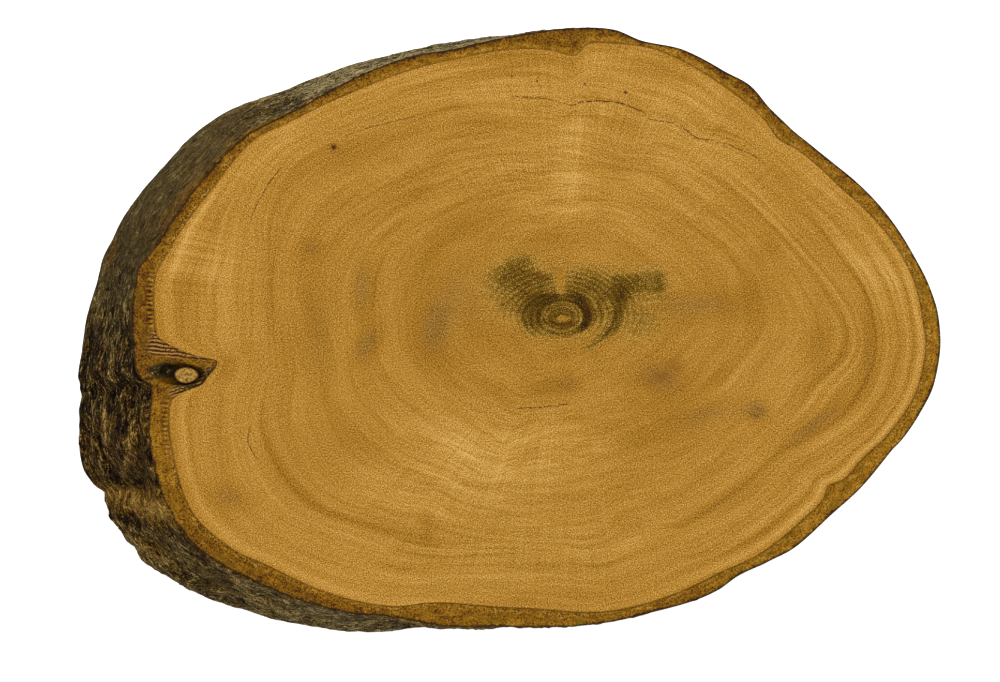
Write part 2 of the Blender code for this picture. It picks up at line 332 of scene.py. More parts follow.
class Finish:
    # one material; all its nodes come from node(): type, settings first, then socket values or links
    def __init__(self, name):
        self.material = bpy.data.materials.new(name)
        self.material.use_nodes = True
        self.tree = self.material.node_tree
        self.tree.nodes.clear()
        self.place = self.vector("SCALE", self.node("ShaderNodeTexCoord", {}, {}, 3), Scale=1000.0)
        self.fromPith = self.vector("SUBTRACT", self.place, (*sliceForm["pith"], 0.0))
        outward = self.vector("MULTIPLY", self.fromPith, (1.0, 1.0, 0.0))
        self.outward = self.vector("NORMALIZE", outward)

    def node(self, kind, settings, sockets, output=0):
        made = self.tree.nodes.new(kind)
        for key, value in settings.items():
            if key == "stops":
                ramp = made.color_ramp
                while len(ramp.elements) < len(value):
                    ramp.elements.new(1.0)
                for element, (position, colour) in zip(ramp.elements, value):
                    element.position = position
                    element.color = colour
            else:
                setattr(made, key, value)
        for key, value in sockets.items():
            if isinstance(value, Wire):
                self.tree.links.new(value.socket, made.inputs[key])
            else:
                made.inputs[key].default_value = value
        return Wire(self, made.outputs[output]) if made.outputs else None

    def maths(self, operation, *values):
        return self.node("ShaderNodeMath", {"operation": operation}, dict(enumerate(values)))

    def vector(self, operation, *values, output=0, **named):
        sockets = dict(enumerate(values))
        sockets.update(named)
        return self.node("ShaderNodeVectorMath", {"operation": operation}, sockets, output)

    def trait(self, name):
        return self.node("ShaderNodeAttribute", {"attribute_name": name}, {}, 2)

    def join(self, x, y, z):
        return self.node("ShaderNodeCombineXYZ", {}, {0: x, 1: y, 2: z})

    def part(self, vector, index):
        return self.node("ShaderNodeSeparateXYZ", {}, {0: vector}, index)

    def rise(self, value, low, high):
        settings = {"interpolation_type": "SMOOTHSTEP"}
        sockets = {0: value, 1: low, 2: high, 3: 0.0, 4: 1.0}
        return self.node("ShaderNodeMapRange", settings, sockets)

    def bell(self, value, middle, width):
        return 1.0 - self.rise(self.maths("ABSOLUTE", value - middle), 0.0, width)

    def noise(self, vector, scale, detail=2.0, rough=0.5):
        sockets = {"Vector": vector, "Scale": scale, "Detail": detail, "Roughness": rough}
        return self.node("ShaderNodeTexNoise", {}, sockets) - 0.5

    def swept(self, value, reach):
        # place for a noise that follows value, and by reach the heading from the pith
        return self.join(value, self.part(self.outward, 0) * reach, self.part(self.outward, 1) * reach)

    def fanned(self, reach, value):
        # the same with the heading first
        return self.join(self.part(self.outward, 0) * reach, self.part(self.outward, 1) * reach, value)

    def ringNoise(self, growth, perMm, sweep):
        # noise that changes fast across the rings and slowly along them
        return self.noise(self.swept(growth * perMm, sweep), 1.0)

    def wave(self, value):
        return self.maths("SINE", value)

    def most(self, value, *others):
        # the greatest of several values
        for other in others:
            value = self.maths("MAXIMUM", value, other)
        return value

    def ramp(self, value, stops):
        # stops are (position, screen colour)
        painted = [(position, paint(colour)) for position, colour in stops]
        return self.node("ShaderNodeValToRGB", {"stops": painted}, {0: value})

    def mix(self, share, first, second):
        settings = {"data_type": "RGBA"}
        return self.node("ShaderNodeMix", settings, {0: share, 6: first, 7: second}, 2)

    def cover(self, share, under, colour):
        # a share of one screen colour over what lies under it
        return self.mix(share, under, paint(colour))

    def bump(self, height, distance, strength):
        sockets = {"Height": height, "Distance": distance, "Strength": strength}
        return self.node("ShaderNodeBump", {}, sockets)

    def finishWith(self, **sockets):
        named = {key.replace("_", " "): value for key, value in sockets.items()}
        shader = self.node("ShaderNodeBsdfPrincipled", {}, named)
        self.node("ShaderNodeOutputMaterial", {}, {"Surface": shader})
        return self.material


# The growth rings: curves of equal growth, (angle, millimetres from the pith)
heartRing = (
    (0, 4.1), (30, 3.9), (60, 3.5), (90, 3.3), (120, 3.4), (150, 4.0), (180, 4.8), (210, 4.2),
    (240, 3.4), (270, 3.0), (300, 3.0), (330, 3.6),
)
youngRing = (
    (0, 25.4), (10, 25.0), (20, 23.8), (30, 22.0), (40, 20.6), (50, 19.8), (60, 19.2), (75, 18.0),
    (90, 17.3), (100, 17.2), (110, 18.0), (120, 18.8), (130, 19.7), (140, 21.2), (150, 23.2),
    (160, 24.6), (170, 24.9), (190, 25.0), (200, 24.3), (210, 23.0), (220, 21.6), (230, 20.2),
    (240, 19.9), (245, 19.6), (250, 18.2), (260, 16.6), (270, 16.2), (280, 16.3), (290, 16.7),
    (300, 17.4), (310, 18.2), (320, 19.0), (330, 20.3), (340, 22.3), (350, 23.8),
)
middleRing = (
    (0, 38.3), (5, 36.6), (10, 34.9), (15, 33.2), (20, 31.9), (25, 30.9), (30, 30.0), (35, 29.3),
    (40, 28.7), (45, 28.1), (50, 27.4), (55, 26.6), (60, 25.9), (65, 25.1), (70, 24.3), (80, 24.3),
    (90, 24.6), (100, 25.4), (110, 26.9), (120, 28.5), (130, 30.2), (135, 31.0), (140, 32.2),
    (150, 35.2), (160, 37.3), (170, 37.8), (175, 37.6), (180, 36.6), (190, 35.8), (200, 38.0),
    (205, 38.6), (210, 38.8), (215, 38.0), (220, 36.8), (225, 35.0), (230, 33.5), (235, 32.0),
    (240, 31.5), (250, 30.3), (260, 29.5), (270, 29.0), (275, 29.3), (280, 29.1), (284, 28.4),
    (287, 27.8), (300, 28.8), (310, 29.6), (320, 30.5), (325, 31.2), (330, 31.9), (335, 33.5),
    (340, 34.8), (345, 35.8), (348, 37.0), (352, 38.7), (355, 39.1),
)
lateRing = (
    (0, 42.0), (5, 41.0), (10, 39.5), (15, 38.0), (20, 36.6), (25, 35.2), (30, 34.3), (40, 33.5),
    (45, 32.8), (50, 31.5), (53, 30.7), (60, 30.9), (65, 30.3), (70, 29.8), (80, 29.9), (86, 29.6),
    (90, 28.2), (93, 29.0), (100, 29.6), (110, 31.0), (115, 32.3), (120, 33.3), (125, 34.2),
    (130, 35.0), (134, 35.9), (137, 36.7), (140, 37.8), (143, 38.8), (147, 40.3), (150, 41.2),
    (157, 41.8), (162, 41.5), (166, 40.6), (170, 40.0), (180, 39.8), (185, 39.9), (190, 40.3),
    (193, 41.5), (196, 42.5), (200, 43.6), (205, 44.0), (210, 43.6), (215, 43.0), (220, 41.5),
    (225, 39.6), (230, 38.0), (235, 36.7), (240, 35.4), (245, 34.2), (250, 33.0), (260, 31.5),
    (270, 31.3), (275, 31.9), (280, 32.2), (285, 31.8), (290, 31.6), (295, 31.7), (300, 32.8),
    (310, 33.2), (320, 34.0), (327, 34.7), (329, 35.0), (332, 36.5), (335, 37.8), (340, 40.0),
    (343, 41.0), (348, 42.0), (355, 42.6),
)
sapShare = (       # how far out from the late ring to the wood's edge the growth of 40 lies
    (0, 0.45), (150, 0.48), (160, 0.47), (170, 0.41), (180, 0.38), (184, 0.45), (187.5, 0.57),
    (191, 0.42), (195, 0.36), (200, 0.38), (215, 0.45), (330, 0.42),
)
ringGrowth = (0.0, 3.7, 20.5, 31.0, 36.0, 40.0, 44.0)


def growthAt(angles, radius):
    # growth, the mean radius of the ring through a point: rises smoothly through the curves above
    late = around(lateRing, angles)
    edge = around(woodEdge, angles)
    curves = [np.zeros_like(angles), around(heartRing, angles), around(youngRing, angles),
              around(middleRing, angles), late, late + (edge - late) * around(sapShare, angles), edge]
    knots = np.stack(curves)
    values = np.array(ringGrowth)[:, None]
    gap = np.diff(knots, axis=0)
    slope = np.diff(values, axis=0) / gap
    between = 2.0 * slope[:-1] * slope[1:] / (slope[:-1] + slope[1:])
    tangent = np.concatenate((slope[:1], between, slope[-1:]))
    place = np.clip((radius[:, None, :] >= knots[None, :, :]).sum(axis=1) - 1, 0, len(ringGrowth) - 2)
    column = np.arange(len(angles))[None, :]
    width = gap[place, column]
    part = (radius - knots[place, column]) / width
    growth = np.array(ringGrowth)
    slopes = (tangent[place, column], tangent[place + 1, column])
    return cubic(growth[place], growth[place + 1], *slopes, width, part)


# Light and dark patches of the face: picture place, half-length, half-width, turn, strength
woodPatches = {
    "columnOverHeart": (573, 162, 50, 20, 90, 0.24),
    "topRight": (690, 150, 70, 40, -30, 0.16),
    "upperCorner": (520, 85, 60, 22, 10, 0.12),
    "leftSap": (197, 258, 40, 30, 80, 0.34),
    "leftSapTop": (262, 158, 70, 9, 42, 0.25),
    "lowerMiddle": (510, 450, 95, 45, 10, 0.30),
    "swirl": (455, 450, 22, 16, 40, 0.12),
    "bottomBand": (560, 545, 120, 26, 4, 0.08),
    "lowerLeftBand": (330, 520, 70, 14, -30, 0.06),
    "lowerRightArc": (745, 470, 90, 9, 35, 0.04),
    "rightSap": (868, 262, 50, 18, -48, 0.22),
    "upperRightField": (720, 230, 60, 40, -30, 0.12),
    "rightMiddle": (790, 320, 20, 40, 0, 0.06),
    "knotlet": (333, 147, 6, 4, -40, -0.30),
    "knotletShade": (345, 156, 44, 14, 25, -0.16),
    "topLeftBand": (478, 122, 48, 13, 12, -0.12),
    "leftSmudge": (362, 288, 26, 11, 85, -0.32),
    "leftLow": (366, 345, 22, 12, 60, -0.32),
    "innerSmudge": (436, 328, 30, 15, 80, -0.30),
    "arcSmudge": (462, 222, 30, 12, 35, -0.10),
    "innerArc": (420, 250, 34, 10, 50, -0.06),
    "upperLeftSpot": (310, 248, 14, 12, 0, -0.22),
    "leftZone": (318, 335, 60, 20, 90, -0.20),
    "lowerLeftZone": (330, 450, 50, 40, 20, -0.14),
    "sapSmudge": (228, 497, 22, 13, -20, -0.28),
    "leftEdgeSmudge": (186, 290, 12, 14, 0, -0.12),
    "besideKnot": (225, 368, 20, 14, 0, -0.14),
    "redPatch": (662, 378, 26, 15, -25, -0.27),
    "lowerHeart": (560, 385, 26, 10, 0, -0.20),
    "rightHeart": (700, 305, 46, 16, 0, -0.24),
    "rightArc": (818, 348, 12, 26, 0, -0.20),
    "outerRightArc": (868, 358, 9, 50, 0, -0.22),
    "rightLow": (757, 412, 10, 9, 0, -0.50),
    "rightLowBand": (712, 414, 42, 13, 12, -0.18),
    "lowerRightZone": (660, 440, 90, 30, 20, -0.10),
    "farRightLow": (813, 426, 42, 8, 37, -0.36),
    "farRightKink": (806, 464, 16, 8, -30, -0.08),
    "rightSpot": (766, 250, 18, 12, 40, -0.14),
    "topRightSpot": (690, 98, 24, 14, -20, -0.10),
    "topFlute": (573, 66, 9, 16, 0, -0.12),
    "topRightBand": (656, 140, 12, 14, 0, 0.06),
    "fieldSpot": (736, 212, 26, 20, -20, -0.16),
    "bottomDark": (720, 505, 60, 10, 30, -0.22),
    "lowStreak": (428, 530, 8, 22, 0, -0.16),
    "heartField": (560, 325, 150, 92, 0, -0.13),
    "heartFieldLow": (545, 415, 80, 28, 0, -0.06),
    "overHeartBand": (515, 164, 46, 9, 0, 0.22),
    "besideColumn": (612, 104, 18, 14, 0, 0.20),
    "rightField": (765, 290, 26, 34, 0, -0.10),
    "rightNeckPale": (622, 278, 12, 8, 0, 0.16),
    "bottomMiddleBand": (450, 548, 70, 14, 0, 0.12),
    "lowerArcShade": (300, 490, 12, 44, 45, -0.03),
    "heartFieldLeft": (462, 290, 30, 40, 0, -0.16),
    "topFieldLight": (540, 208, 70, 12, 0, 0.12),
    "topRingLight": (545, 112, 70, 9, -2, 0.16),
    "upperRingLight": (500, 176, 80, 12, -4, 0.11),
    "lowerLeftLight": (315, 488, 26, 8, -40, 0.12),
    "belowHeartLight": (545, 370, 14, 18, 0, 0.12),
    "lowRightLight": (648, 425, 20, 9, 0, 0.12),
    "rightFieldOuter": (862, 240, 34, 12, -50, -0.10),
    "columnFoot": (590, 108, 26, 7, 0, 0.14),
    "farRightLight": (840, 196, 60, 12, -40, 0.14),
    "besideKnotPale": (240, 352, 16, 12, 0, -0.08),
    "topRightEdge": (700, 95, 60, 22, 28, 0.16),
    "topEdgePale": (610, 58, 56, 12, 4, 0.12),
    "topLeftEdge": (440, 72, 80, 10, 14, 0.12),
}
# The dark stain of the heart: picture place, half-length, half-width, turn, strength
heartStain = {
    "field": (580, 292, 66, 28, 0, 0.37),
    "leftRays": (528, 294, 28, 17, -25, 0.42),
    "leftLobe": (508, 274, 25, 14, 26, 0.54),
    "leftLobeTop": (522, 261, 15, 9, 12, 0.30),
    "leftNeck": (531, 285, 18, 13, -35, 0.26),
    "leftPurple": (541, 276, 10, 4, -12, 0.50),
    "lidRight": (584, 287, 24, 11, -6, 0.40),
    "lidTop": (594, 274, 28, 9, -6, 0.22),
    "rightNeck": (613, 298, 9, 12, 40, 0.20),
    "rightLobe": (637, 283, 26, 12, 18, 0.60),
    "rightTip": (660, 284, 5, 12, 10, 0.36),
    "underRightLobe": (640, 322, 26, 22, 0, 0.36),
    "innerZone": (562, 318, 26, 19, 0, 0.66),
    "underPithLeft": (551, 323, 8, 2.6, -8, 0.55),
    "besidePith": (555, 317, 3, 2.4, 0, 0.35),
    "underPithRight": (569, 324, 6, 2.2, 12, 0.75),
    "paleRay": (561, 284, 11, 4.2, 90, -0.75),
    "pithEye": (562.0, 318.3, 4.4, 2.2, 0, -2.2),
    "leftSide": (508, 308, 18, 14, 0, 0.34),
    "underInner": (566, 330, 20, 6, 0, 0.22),
    "oliveBand": (600, 312, 6, 16, 0, 0.42),
    "rightLobeEdge": (658, 288, 12, 10, 0, 0.16),
}
# Red-brown tints: picture place, half-length, half-width, turn, strength
rustPatches = {
    "redPatch": (662, 378, 26, 12, 25, 0.42),
    "redPatchEnd": (676, 362, 12, 9, 20, 0.25),
    "underPith": (568.5, 324.3, 6, 2.0, 8, 1.0),
    "leftOfPith": (552, 322.5, 8, 2.6, -10, 0.5),
    "belowCollar": (563.5, 336, 8, 2.5, 0, 0.35),
    "rayFoot": (561, 289, 5, 4, 90, 0.35),
    "leftPurple": (541, 276, 9, 4, 0, 0.5),
    "collarRight": (587, 309, 6, 9, 0, 0.35),
    "lowerStreak": (568, 400, 14, 8, 0, 0.16),
    "knotlet": (333, 147, 7, 5, -40, 0.4),
    "lowLeftStreak": (429, 520, 5, 24, 0, 0.14),
    "rightArc": (818, 348, 14, 26, 0, 0.16),
    "farRightLow": (813, 426, 40, 9, 37, 0.18),
}
# Rings close round the pith: their places and widths in millimetres, and how dark they are, by angle
heartForm = {
    "innerRing": (2.58, 1.88),        # half-length and half-width of the pale ring round the pith
    "innerRingPale": 0.06,
    "collarReach": ((0, 4.3), (45, 4.2), (70, 3.6), (90, 3.2), (120, 3.8), (140, 4.8), (160, 5.6),
                    (180, 5.9), (200, 5.7), (215, 4.6), (235, 3.0), (270, 2.6), (300, 2.7), (330, 3.5)),
    "collarDark": ((0, 1.15), (20, 1.05), (40, 0.8), (60, 0.50), (90, 0.44), (120, 0.50), (150, 0.46),
                   (180, 0.54), (200, 0.46), (215, 0.3), (235, 0.26), (270, 0.34), (300, 0.36), (318, 0.6),
                   (340, 1.2)),
    "arcRadius": ((5, 7.4), (24, 8.6), (60, 9.0), (270, 5.6), (293, 5.5), (308, 5.3), (328, 5.8),
                  (347, 6.7)),
    "arcWidth": ((5, 0.90), (30, 1.0), (60, 0.8), (290, 0.25), (308, 0.34), (328, 0.5), (347, 0.8)),
    "arcDark": ((5, 0.68), (25, 0.50), (45, 0.0), (280, 0.0), (293, 0.16), (308, 0.42), (328, 0.62),
                (347, 0.70)),
}
# Hairline cracks along the rings: (angle, millimetres from the pith) and (angle, strength)
crackLine = (
    (38.7, 33.6), (43.7, 32.5), (48.2, 31.4), (53.6, 29.9), (56, 29.9), (60, 29.8), (64.6, 29.1),
    (66.4, 28.9), (68.9, 29.5), (70.4, 29.4), (73.6, 29.6), (79.4, 29.3), (84.3, 28.9), (87.1, 28.3),
    (93, 29.0), (102.8, 30.2), (125, 33.0), (141, 38.1), (151.4, 42.4), (162.7, 43.5), (176.5, 17.4),
    (179.5, 17.4), (200, 44.5), (202, 45.1), (204.2, 44.9), (244.5, 13.4), (253, 12.6), (263, 12.0),
    (273, 11.6),
)
crackStrength = (
    (36, 0.0), (39.5, 0.6), (48, 0.9), (60, 0.9), (66.2, 0.8), (67.5, 0.1), (69, 0.9), (80, 1.0),
    (87, 0.9), (90, 0.1), (94, 0.7), (102, 0.8), (104, 0.0), (124, 0.0), (127, 0.6), (139, 0.7),
    (142, 0.0), (150, 0.0), (153, 0.8), (161, 0.8), (164, 0.0), (176, 0.0), (178, 0.6), (180, 0.0),
    (198, 0.0), (200.5, 0.8), (204, 0.8), (206, 0.0), (242, 0.0), (245, 1.0), (256, 0.9), (272, 0.8),
    (275, 0.0),
)

# Tiny dark holes of the face: picture place and radius in pixels
pinHoles = {
    "knotlet": (333.7, 147.3, 2.6),
    "overLeft": (512.0, 76.0, 1.2),
    "overMiddle": (537.0, 81.0, 1.2),
    "besideFlute": (584.9, 84.0, 1.5),
    "overRight": (625.7, 92.3, 1.8),
}


def patchSum(x, y, patches):
    # sum of strength * exp(-(u / halfLength)^2 - (v / halfWidth)^2) over turned ellipses, in pixels
    px = photoView["pithPixel"][0] + x * photoView["pixelsPerMm"]
    py = photoView["pithPixel"][1] - y * photoView["pixelsPerMm"]
    total = np.zeros_like(x)
    for middleX, middleY, halfLength, halfWidth, turn, strength in patches.values():
        cosine = math.cos(math.radians(turn))
        sine = math.sin(math.radians(turn))
        u = (px - middleX) * cosine - (py - middleY) * sine
        v = (px - middleX) * sine + (py - middleY) * cosine
        total = total + strength * np.exp(-(u / halfLength) ** 2 - (v / halfWidth) ** 2)
    return total


def heartShade(x, y):
    # stain of the heart: lobes, a dark collar outside the pale inner ring, and an arc further right
    form = heartForm
    angles = np.degrees(np.arctan2(y, x))
    radius = np.hypot(x, y)
    inner = np.hypot(x / form["innerRing"][0], y / form["innerRing"][1])
    outer = radius / around(form["collarReach"], angles)
    collar = around(form["collarDark"], angles) * ease(inner, 1.02, 1.20) * (1.0 - ease(outer, 0.82, 1.08))
    paleLine = form["innerRingPale"] * np.exp(-((inner - 0.97) / 0.10) ** 2)
    offArc = (radius - around(form["arcRadius"], angles)) / around(form["arcWidth"], angles)
    arc = around(form["arcDark"], angles) * np.exp(-offArc ** 2)
    return patchSum(x, y, heartStain) + collar + arc - paleLine


# Ring lines that stand out: growth, width, strength (pale over 0), middle angle, half the angle
ringLines = {
    "paleMiddle": (31.0, 0.45, 0.13, 8, 42),
    "paleMiddleTwin": (32.2, 0.30, 0.10, 8, 40),
    "darkInsideMiddle": (29.9, 0.8, -0.10, 8, 42),
    "paleLateBottom": (36.0, 0.55, 0.05, 298, 42),
    "darkLateBottom": (34.8, 1.0, -0.12, 314, 24),
    "paleLateLeft": (36.0, 0.5, 0.12, 151, 20),
    "darkLowerLeft": (35.0, 1.4, -0.13, 222, 30),
    "paleLowerLeft": (37.4, 1.4, 0.02, 225, 34),
    "paleCambium": (43.2, 0.6, 0.12, 190, 62),
    "darkYoungLeft": (20.8, 0.5, -0.07, 175, 60),
    "paleYoung": (22.2, 0.6, 0.06, 20, 60),
    "darkRight": (35.2, 0.6, -0.11, 0, 30),
    "paleRight": (37.4, 0.5, 0.09, 0, 34),
    "darkTop": (34.6, 0.8, -0.07, 100, 30),
    "paleEdgeRight": (43.2, 0.7, 0.20, -25, 46),
    "darkEdgeRight": (42.2, 0.4, -0.12, -25, 46),
    "paleFineRight": (41.2, 0.35, 0.09, -22, 46),
    "darkFineRight": (39.6, 0.4, -0.08, -22, 46),
}
woodLook = {
    "steps": (0.75, 0.2, 182.0, 196.0),     # degrees between points, and the finer steps' stretch
    "rows": 110,
    "rowPower": 1.5,
    "wallRows": 9,
    "backRows": 40,
    "innerReach": 1.22,              # the inner rows follow the late ring, this much larger
    "edgeRound": 0.12,
    "edgeSteps": ((0.05, 0.0), (0.01, 0.02), (0.0, 0.10)),     # millimetres in and down, round the edge
    "backStain": (7.0, 4.5, 0.8),    # half-length, half-width and strength of the stain at the sawn back
    "toneStops": ((0.0, (98, 60, 8)), (0.25, (144, 96, 20)), (0.50, (178, 127, 42)),
                  (0.75, (200, 150, 66)), (1.0, (228, 186, 112))),
    "stainStops": ((0.0, (32, 20, 1)), (0.25, (64, 45, 4)), (0.5, (98, 71, 13)), (0.75, (139, 103, 29)),
                   (1.0, (208, 168, 84))),
    "smudgeStops": ((0.0, (98, 68, 24)), (0.25, (147, 108, 44)), (0.50, (176, 132, 62)),
                    (0.75, (198, 154, 84)), (1.0, (226, 188, 124))),
    "sawnStops": ((0.0, (92, 62, 28)), (0.4, (150, 112, 58)), (0.7, (182, 144, 84)),
                  (1.0, (205, 172, 114))),
    "rust": (112, 58, 18),
    "crack": (80, 42, 0),
    "brink": (112, 68, 4),
    "pinHole": (72, 38, 4),
    "heartRipple": 9.0,              # how tightly the fine dark rings of the heart follow each other
    "roughness": 0.46,
    "gloss": 0.045,
}


def makeWoodFinish():
    # tone = rings + rays + specks + patches, through a ramp of wood colours, a greyer one in the smudges
    look = woodLook
    f = Finish("polished_wood")
    patches = f.trait("tone")
    growth = f.trait("growth") + f.noise(f.fromPith, 0.35) * 0.35
    hair = f.ringNoise(growth, 2.9, 5.0)
    thinRing = f.ringNoise(growth, 0.85, 2.2)
    rays = f.noise(f.fanned(85.0, growth * 0.12), 1.0)
    streaks = 0.62 + (thinRing + hair + rays) * 1.3
    tone = 0.5 + patches * streaks + rays * 0.16
    tone = tone + f.ringNoise(growth, 0.22, 1.1) * 0.34 + thinRing * 0.26 + hair * 0.34
    for level, width, strength, middle, half in ringLines.values():
        heading = (math.cos(math.radians(middle)), math.sin(math.radians(middle)), 0.0)
        facing = f.vector("DOT_PRODUCT", f.outward, heading, output=1)
        share = f.rise(facing, math.cos(math.radians(half)), math.cos(math.radians(half * 0.5)))
        tone = tone + f.bell(growth, level, width) * share * strength
    speck = f.noise(f.place, 5.0, 1.0)
    pore = f.noise(f.place, 8.0, 0.0)
    tone = tone + speck * 0.95 + pore * 1.55
    wood = f.ramp(tone, look["toneStops"])
    wood = f.mix(f.rise(patches, -0.10, -0.38) * 0.75, wood, f.ramp(tone, look["smudgeStops"]))
    ripple = f.wave(growth * look["heartRipple"] + f.noise(f.fromPith, 0.8, 1.0) * 5.0)
    ripple = ripple * (0.3 + 0.7 * f.rise(growth, 12.0, 6.0))
    cloud = f.noise(f.fromPith, 0.9, 3.0, 0.6)
    spokes = f.noise(f.fanned(40.0, growth * 0.4), 1.0, 1.0)
    stain = f.trait("stain") * (1.0 + ripple * 0.16 + cloud + spokes * 1.4 + speck * 0.6)
    stainTone = 0.86 - stain * 0.45 + ripple * 0.15 + speck + pore * 1.5 + spokes * 0.9
    wood = f.mix(f.rise(stain, -0.05, 0.60), wood, f.ramp(stainTone, look["stainStops"]))
    rust = f.trait("rust") * (1.0 + speck * 2.0 + rays * 1.5)
    wood = f.cover(f.rise(rust, 0.0, 1.2), wood, look["rust"])
    gap = f.trait("crackGap") + f.noise(f.place, 0.9, 3.0) * 0.5
    breaks = f.rise(f.noise(f.place, 3.4, 1.0), -0.16, 0.04)
    crack = (1.0 - f.rise(f.maths("ABSOLUTE", gap), 0.04, 0.15)) * f.trait("crackStrength") * breaks
    wood = f.cover(crack, wood, look["crack"])
    wood = f.cover(f.rise(f.trait("growth"), 43.86, 43.99) * 0.6, wood, look["brink"])
    for px, py, reach in pinHoles.values():
        hole = (*fromPixel(px, py), sliceForm["thickness"])
        size = reach / photoView["pixelsPerMm"]
        away = f.vector("DISTANCE", f.fromPith, hole, output=1) + speck * 0.2
        wood = f.cover((1.0 - f.rise(away, size * 0.5, size * 1.3)) * 0.9, wood, look["pinHole"])
    normal = f.bump(hair * 0.5 + speck * 0.5 + pore * 0.3 - crack * 1.5, 0.00004, 0.35)
    rough = look["roughness"] + speck * 0.12
    return f.finishWith(Base_Color=wood, Roughness=rough, Normal=normal, Specular_IOR_Level=look["gloss"])


def makeSawnFinish():
    # the sawn back: the same rings, duller, with straight saw marks across
    f = Finish("sawn_wood")
    growth = f.trait("growth") + f.noise(f.fromPith, 0.3) * 0.5
    marks = f.noise(f.vector("MULTIPLY", f.place, (0.06, 2.6, 0.0)), 1.0, 3.0)
    speck = f.noise(f.place, 3.0)
    tone = 0.46 + f.ringNoise(growth, 0.3, 1.2) * 0.4 + f.ringNoise(growth, 1.4, 3.0) * 0.3
    tone = tone + marks * 0.35 + speck * 0.4 - f.trait("stain") * 0.3
    wood = f.ramp(tone, woodLook["sawnStops"])
    normal = f.bump(marks + speck * 0.6, 0.00012, 0.6)
    return f.finishWith(Base_Color=wood, Roughness=0.82, Normal=normal, Specular_IOR_Level=0.2)


def makeWoodBody():
    # polished face, hidden wall and sawn back as rows of one closed surface, all measured from the pith
    look = woodLook
    form = sliceForm
    thickness = form["thickness"]
    angles = bearings(*look["steps"])
    edge = around(woodEdge, angles)
    plain = around(lateRing, angles) * look["innerReach"]
    share = ((np.arange(1, look["rows"] + 1) / look["rows"]) ** look["rowPower"])[:, None]
    faceRadius = share * (plain * (1.0 - share ** 4) + (edge - look["edgeRound"]) * share ** 4)
    faceRows = spot(angles, faceRadius, thickness)
    edgeIn, edgeDown = np.array(look["edgeSteps"]).T[:, :, None]
    edgeRadius = edge - edgeIn
    edgeRows = spot(angles, edgeRadius, thickness - edgeDown)
    depth = np.linspace(0.03, 1.0, look["wallRows"])[:, None]
    wallRadius = woodWall(angles, depth)
    wallRows = spot(angles, wallRadius, (thickness - form["rimDrop"] - form["rimCrown"]) * (1.0 - depth))
    backShare = np.linspace(1.0, 0.03, look["backRows"])[1:, None]
    backMiddle = toFrame(*form["backPith"], 0.0)
    backRows = backMiddle + (spot(angles, wallRadius[-1], 0.0) - backMiddle) * backShare[:, :, None]
    rows = np.concatenate((faceRows, edgeRows, wallRows, backRows))
    x = rows[..., 0] / mm - form["pith"][0]
    y = rows[..., 1] / mm - form["pith"][1]
    faceGrowth = growthAt(angles, np.concatenate((faceRadius, edgeRadius)))
    wallGrowth = np.full(wallRadius.shape, ringGrowth[-1])
    backGrowth = np.broadcast_to(backShare * ringGrowth[-1], backRows.shape[:2])
    onFace = np.zeros(rows.shape[:2])
    onFace[:len(faceGrowth)] = 1.0
    halfLength, halfWidth, strength = look["backStain"]
    backX = (x - form["backPith"][0]) / halfLength
    backY = (y - form["backPith"][1]) / halfWidth
    backStain = strength * np.exp(-backX ** 2 - backY ** 2)
    traits = {
        "growth": np.concatenate((faceGrowth, wallGrowth, backGrowth)),
        "tone": patchSum(x, y, woodPatches) * onFace,
        "stain": heartShade(x, y) * onFace + backStain * (1.0 - onFace),
        "rust": patchSum(x, y, rustPatches) * onFace,
        "crackGap": np.hypot(x, y) - around(crackLine, angles),
        "crackStrength": around(crackStrength, angles) * onFace,
    }
    finishOfRow = np.zeros(len(rows) - 1, dtype=int)
    finishOfRow[len(faceGrowth) + 2:] = 1          # the sawn finish starts low on the hidden wall
    poles = [toFrame(0.0, 0.0, thickness), backMiddle]
    makePiece("wood_body", rows, poles, [makeWoodFinish(), makeSawnFinish()], finishOfRow, traits)


# The bark's side: (angle, share) of roughness, crumbling, paleness, contrast and warmth
roughness = (
    (0, 0.55), (60, 0.45), (95, 0.35), (110, 0.40), (138, 0.35), (145, 0.75), (152, 0.25), (172, 0.25),
    (180, 0.60), (186, 0.95), (200, 1.0), (208, 0.8), (222, 0.75), (236, 0.55), (250, 0.55), (300, 0.50),
)
crumbling = (
    (0, 0.4), (90, 0.25), (135, 0.15), (142, 0.45), (150, 0.1), (176, 0.1), (184, 0.35), (196, 0.6),
    (201, 1.0), (222, 0.95), (232, 0.6), (245, 0.5), (255, 0.6), (300, 0.4),
)
paleness = (
    (0, 0.32), (60, 0.36), (95, 0.48), (105, 0.58), (125, 0.60), (135, 0.54), (142, 0.46), (149, 0.45),
    (156, 0.46), (168, 0.40), (178, 0.28), (184, 0.14), (196, 0.14), (201, 0.20), (207, 0.28),
    (222, 0.36), (232, 0.43), (245, 0.45), (262, 0.36), (300, 0.31),
)
contrast = (
    (0, 0.8), (90, 1.0), (100, 1.45), (134, 1.45), (142, 1.2), (150, 0.5), (170, 0.45), (180, 0.9),
    (188, 1.1), (200, 0.9), (225, 0.85), (240, 0.95), (260, 0.8),
)
warmth = (
    (0, 0.40), (95, 0.25), (110, 0.12), (135, 0.12), (150, 0.16), (175, 0.16), (184, 0.42), (199, 0.55),
    (206, 0.50), (212, 0.40), (235, 0.22), (249, 0.3), (262, 0.4), (300, 0.45),
)
